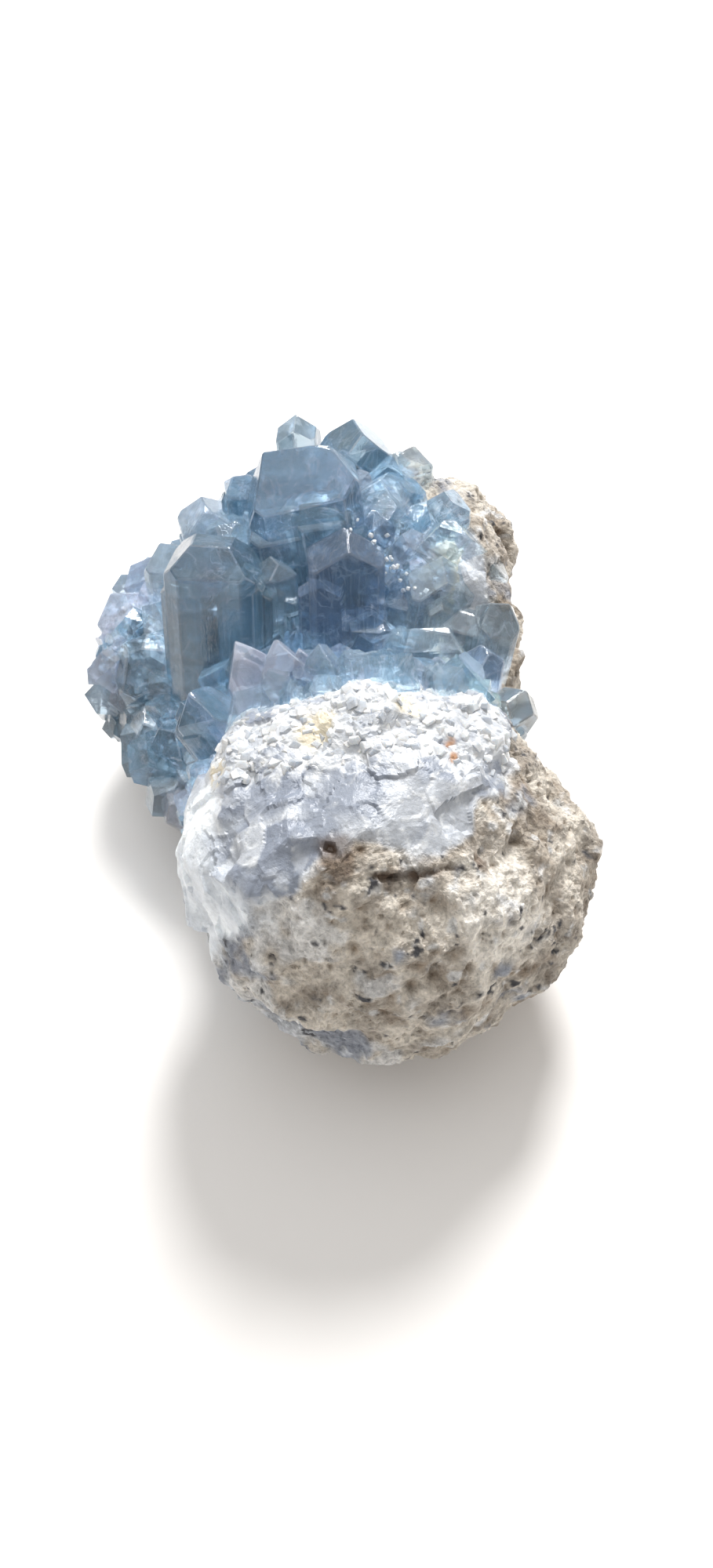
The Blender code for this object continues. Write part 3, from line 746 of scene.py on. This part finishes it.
def crystalShape(width, depth, length, habit, rng, chip=None):
    # A crystal standing on z = 0, in mm: a box, cut by upright planes along its prism and by sloping
    # planes that pass near its tip, each turned a little, and maybe by one flat square to chip.
    uneven = growth["uneven"]
    normals = [np.array(side, float) for side in boxSides]
    offsets = [width / 2, width / 2, depth / 2, depth / 2, length + 2, 0]   # its top is clear of the tip
    sides, tips = habits[habit]
    for azimuth, keep in sides:
        normal = direction(azimuth + rng.uniform(-uneven["side"], uneven["side"]), 0)
        keep = keep + rng.uniform(-uneven["sideKeep"], uneven["sideKeep"])
        normals.append(normal)
        offsets.append((abs(normal[0]) * width / 2 + abs(normal[1]) * depth / 2) * keep)
    turn, tilt = uneven["tip"]
    for azimuth, elevation, standOff in tips:
        normal = direction(azimuth + rng.uniform(-turn, turn), elevation + rng.uniform(-tilt, tilt))
        off = standOff * width / 12 + rng.uniform(-uneven["tipKeep"], uneven["tipKeep"]) * width
        normals.append(normal)
        offsets.append(normal[2] * length + off)
    corners, faces = flatSolid(np.array(normals), np.array(offsets))
    if chip is not None:
        normals.append(chip)
        offsets.append((corners @ chip).max() - rng.uniform(*glint["depth"]) * width)
        corners, faces = flatSolid(np.array(normals), np.array(offsets))
    return corners, faces


def stoodUp(root, tip, turn):   # rows: across, back and along of a crystal from its root to its tip
    axis = (tip - root) / np.linalg.norm(tip - root)
    across = np.array([1.0, 0, 0]) - axis * axis[0]
    across /= np.linalg.norm(across)
    back = np.cross(axis, across)
    c, s = math.cos(math.radians(turn)), math.sin(math.radians(turn))
    return np.stack([across * c + back * s, back * c - across * s, axis])


def leaning(normal, amount, rng):   # a direction near the normal
    lean = normal + rng.uniform(-amount, amount, 3)
    return lean / np.linalg.norm(lean)


def shaded(tint, faces, shade, wholeShade, rng):   # a colour for each face, and all of them a little off
    return colour(tint) * rng.uniform(*shade, (len(faces), 1)) * rng.uniform(*wholeShade)


class Cluster:   # crystals gathered to one mesh
    def __init__(self):
        self.points, self.faces, self.hue, self.along = [], [], [], []
        self.count = 0

    def add(self, corners, faces, hues, root, axes, phase):   # turned to its axes, then moved to its root
        self.points.append(root + corners @ axes)
        self.faces += [[k + self.count for k in face] for face in faces]
        self.hue.append(np.concatenate([np.clip(hues, 0, 1), np.ones((len(faces), 1))], 1))
        self.along.append(corners + phase)
        self.count += len(corners)

    def piece(self, name, material, node="crystal_crust"):
        piece = newPiece(name, np.concatenate(self.points), self.faces, material,
                         {"along": np.concatenate(self.along)}, np.concatenate(self.hue))
        standFor(piece, node)
        piece.visible_shadow = "Crystals" not in name   # lamplight goes on through clear crystals
        print(name + ":", len(self.faces), "faces")


def withCompanions(width, depth, length, rng):   # rows: across, back, width, depth, length
    parts = [(0.0, 0.0, width, depth, length)]
    for _ in range(growth["companions"] if width > growth["companionsFrom"] else 1):
        angle = rng.uniform(0, 2 * math.pi)
        wide, thick = [size * rng.uniform(*growth["companionWidth"]) for size in (width, depth)]
        across, back = growth["apart"] * width * math.cos(angle), growth["apart"] * depth * math.sin(angle)
        parts.append((across, back, wide, thick, length * rng.uniform(*growth["companionLength"])))
    return parts


def growLarge(clear):   # the rows above with their companions, one mesh for each kind
    rng = np.random.default_rng(7)
    clusters = {kind: Cluster() for kind in kinds}
    for number, (root, tip, width, depth, turn, habit, kind) in enumerate(largeCrystals):
        root, tip = np.array(root, float), np.array(tip, float)
        axes = stoodUp(root, tip, turn)
        for across, back, wide, thick, tall in withCompanions(width, depth, np.linalg.norm(tip - root), rng):
            flat = rng.uniform() < glint["share"] and wide < glint["widest"]
            chip = axes @ np.array(glint["normal"]) if flat else None
            corners, faces, edge = worn(*crystalShape(wide, thick, tall, habit, rng, chip), frostAndEdgeHighlight["width"])
            hues = shaded(tints[kind], faces, growth["shade"], growth["crystalShade"], rng)
            # The bevelled edge faces are whitened: partly frosting, partly a painted highlight of edges
            # catching the light
            rubbedAndHighlit = edge[:, None] * rng.uniform(*frostAndEdgeHighlight["whiteness"], (len(faces), 1))
            hues = hues + (colour(frostAndEdgeHighlight["colour"]) - hues) * rubbedAndHighlit
            corners = corners + np.array([across, back, 0])
            clusters[kind].add(corners, faces, hues, root, axes, growth["phase"] * number)
    for kind, cluster in clusters.items():
        cluster.piece(kind + "Crystals", clear[kind])


def sites(points, allowed, spacing, most, rng):   # spaced places, drawn in a random order
    order = rng.permutation(np.where(allowed)[0])
    taken = {}
    chosen = []
    for k in order:
        cell = tuple(np.floor(points[k] / spacing).astype(int))
        near = [taken.get((cell[0] + a, cell[1] + b, cell[2] + c)) for a, b, c in around]
        if any(other is not None and np.linalg.norm(points[k] - points[other]) < spacing for other in near):
            continue
        taken[cell] = k
        chosen.append(k)
        if len(chosen) == most:
            break
    return chosen


def growSmall(clear, top, normals, fade):   # at spaced places on the bed, clear of the large crystals
    rng = np.random.default_rng(19)
    look = smallCrystals
    free = fade > look["fade"]
    for root, tip, width, depth, *_ in largeCrystals:
        free &= lineDistance(top, (root, tip)) > look["clearance"] * min(width, depth)
    for title, kind in (("medium", "blue"), ("fine", "pale")):
        most, widths, spacing = look[title]
        cluster = Cluster()
        for k in sites(top, free, spacing, most, rng):
            width = rng.uniform(*widths)
            lean = leaning(normals[k], look["lean"], rng)
            root = top[k] - lean * width * look["root"]
            tip = top[k] + lean * width * rng.uniform(*look["length"])
            depth = width * rng.uniform(*look["depth"])
            habit = look["habits"][rng.integers(len(look["habits"]))]
            corners, faces = crystalShape(width, depth, np.linalg.norm(tip - root), habit, rng)
            x, y = look["middle"]
            outside = math.hypot(top[k][0] - x, top[k][1] - y) > look["middleRadius"]
            tones = look["outside" if outside else "inside"]
            tint = tints[tones[rng.integers(len(tones))]]
            hues = shaded(tint, faces, look["shade"], look["crystalShade"], rng)
            axes = stoodUp(root, tip, rng.uniform(0, 180))
            cluster.add(corners, faces, hues, root, axes, rng.uniform(0, 900))
        cluster.piece(title + "Crystals", clear[kind])


# Sugar: small grains on the crest of the near lobe and where crystals meet

sugar = {
    "crest": (380, (0.9, 2.3), 1.5),   # how many, widths, spacing in mm
    "crestPlace": ((-29, -12), 49),   # mm, y between these and z above this
    "onCelestite": 0.4, "bare": 0.93,   # less limestone than this, and more of the druse share
    "ridge": (26, (0.4, 0.8), 1.0),   # how many, widths, spread in mm
    "path": ((1.4, 17, 63.1), (4, 13.7, 59.4), (8, 12.5, 54.5), (12.3, 7.2, 53.5)),
    "upright": (0.0, -0.5, 0.86),   # of the grains on the path
    "habits": ("point", "blade", "chisel"), "tints": ("white", "bright", "bright"),
    "lean": 0.7, "root": 0.8, "length": (0.05, 0.3), "depth": (0.7, 1.0),   # shares of the width
    "shade": (0.9, 1.08),
}


def growSugar(material, points, normals, host):   # at spaced places on the crest, and near the path
    rng = np.random.default_rng(23)
    look = sugar
    most, widths, spacing = look["crest"]
    _, y, z = points.T
    (near, far), above = look["crestPlace"]
    crest = (y > near) & (y < far) & (z > above)
    crest &= (host < look["onCelestite"]) & (druseShare(points) > look["bare"])
    places = [(points[k], normals[k]) for k in sites(points, crest, spacing, most, rng)]
    sizes = [rng.uniform(*widths) for _ in places]
    most, widths, spread = look["ridge"]
    path = np.array(look["path"], float)
    for t in rng.uniform(0, len(path) - 1.001, most):
        start = int(t)
        place = path[start] + (t - start) * (path[start + 1] - path[start]) + rng.normal(0, spread, 3)
        places.append((place, np.array(look["upright"])))
        sizes.append(rng.uniform(*widths))
    cluster = Cluster()
    for (place, normal), width in zip(places, sizes):
        lean = leaning(normal, look["lean"], rng)
        root = place - lean * width * look["root"]
        tip = place + lean * width * rng.uniform(*look["length"])
        habit = look["habits"][rng.integers(len(look["habits"]))]
        depth = width * rng.uniform(*look["depth"])
        corners, faces = crystalShape(width, depth, np.linalg.norm(tip - root), habit, rng)
        tint = stone["colours"][look["tints"][rng.integers(len(look["tints"]))]]
        hues = shaded(tint, faces, look["shade"], look["shade"], rng)
        axes = stoodUp(root, tip, rng.uniform(0, 180))
        cluster.add(corners, faces, hues, root, axes, rng.uniform(0, 900))
    cluster.piece("sugar", material, "geode_rock")


# The table, the light and the camera

view = {"elevation": 55, "distance": 200, "target": (2, -14, 30), "lens": 27.04, "sensor": 36}   # degrees, mm
lamps = {   # place and size in metres, power in watts
    "ceiling light": ((0.12, 0.62, 0.775), 0.3, 12.5),
    "soft panel": ((-0.25, 0.1, 1.3), 1.4, 4.0),
}
room = {"colour": (1.0, 0.99, 0.975), "strength": 0.58}   # light from all sides
board = {
    "colour": "#F1EEEB", "half": 1500.0, "below": 0.05,   # mm
    "shader": {"Roughness": 0.8, "Specular IOR Level": 0.2},
}


def paleTable():   # painted board, even and without gloss
    material, tree, out = newMaterial("pale matt board")
    surface = {"Base Color": rgba(board["colour"]), **board["shader"]}
    shader = addNode(tree, "BsdfPrincipled", surface)
    tree.links.new(shader.outputs[0], out.inputs["Surface"])
    half = board["half"]
    corners = [(x * half, y * half, -board["below"]) for x, y in ((-1, -1), (1, -1), (1, 1), (-1, 1))]
    newPiece("table", np.array(corners), [[0, 1, 2, 3]], material)


def placed(name, data, place, turn):
    made = bpy.data.objects.new(name, data)
    bpy.context.scene.collection.objects.link(made)
    made.location = place
    made.rotation_euler = turn
    return made


def lightAndCamera():
    world = bpy.data.worlds.new("white room")
    bpy.context.scene.world = world
    world.use_nodes = True
    background = world.node_tree.nodes["Background"]
    background.inputs["Color"].default_value = (*room["colour"], 1.0)
    background.inputs["Strength"].default_value = room["strength"]
    for name, (place, size, power) in lamps.items():
        lamp = bpy.data.lights.new(name, "AREA")
        lamp.shape = "DISK"
        lamp.size = size
        lamp.energy = power
        turn = Vector(place).to_track_quat("Z", "Y").to_euler()   # it shines at the origin
        placed(name, lamp, place, turn)

    camera = bpy.data.cameras.new("camera")
    camera.sensor_width = view["sensor"]
    camera.lens = view["lens"]
    camera.clip_start = 0.01
    tilt = math.radians(view["elevation"])
    look = Vector((0, math.cos(tilt), -math.sin(tilt)))
    place = (Vector(view["target"]) - look * view["distance"]) * mm
    bpy.context.scene.camera = placed("camera", camera, place, (math.pi / 2 - tilt, 0, 0))
    bpy.context.scene.view_settings.view_transform = "Standard"


paleTable()
lightAndCamera()
print("table, light and camera")
stonePoints, stoneNormals, stoneHost = stoneSurface()
sugary = sugaryCelestite()
bedTop, bedNormals, bedFade = crystalBed(sugary)
clearKinds = {kind: clearCelestite(name, *look) for kind, (name, _, *look) in kinds.items()}
growLarge(clearKinds)
growSmall(clearKinds, bedTop, bedNormals, bedFade)
growSugar(sugary, stonePoints, stoneNormals, stoneHost)
print("crystals")
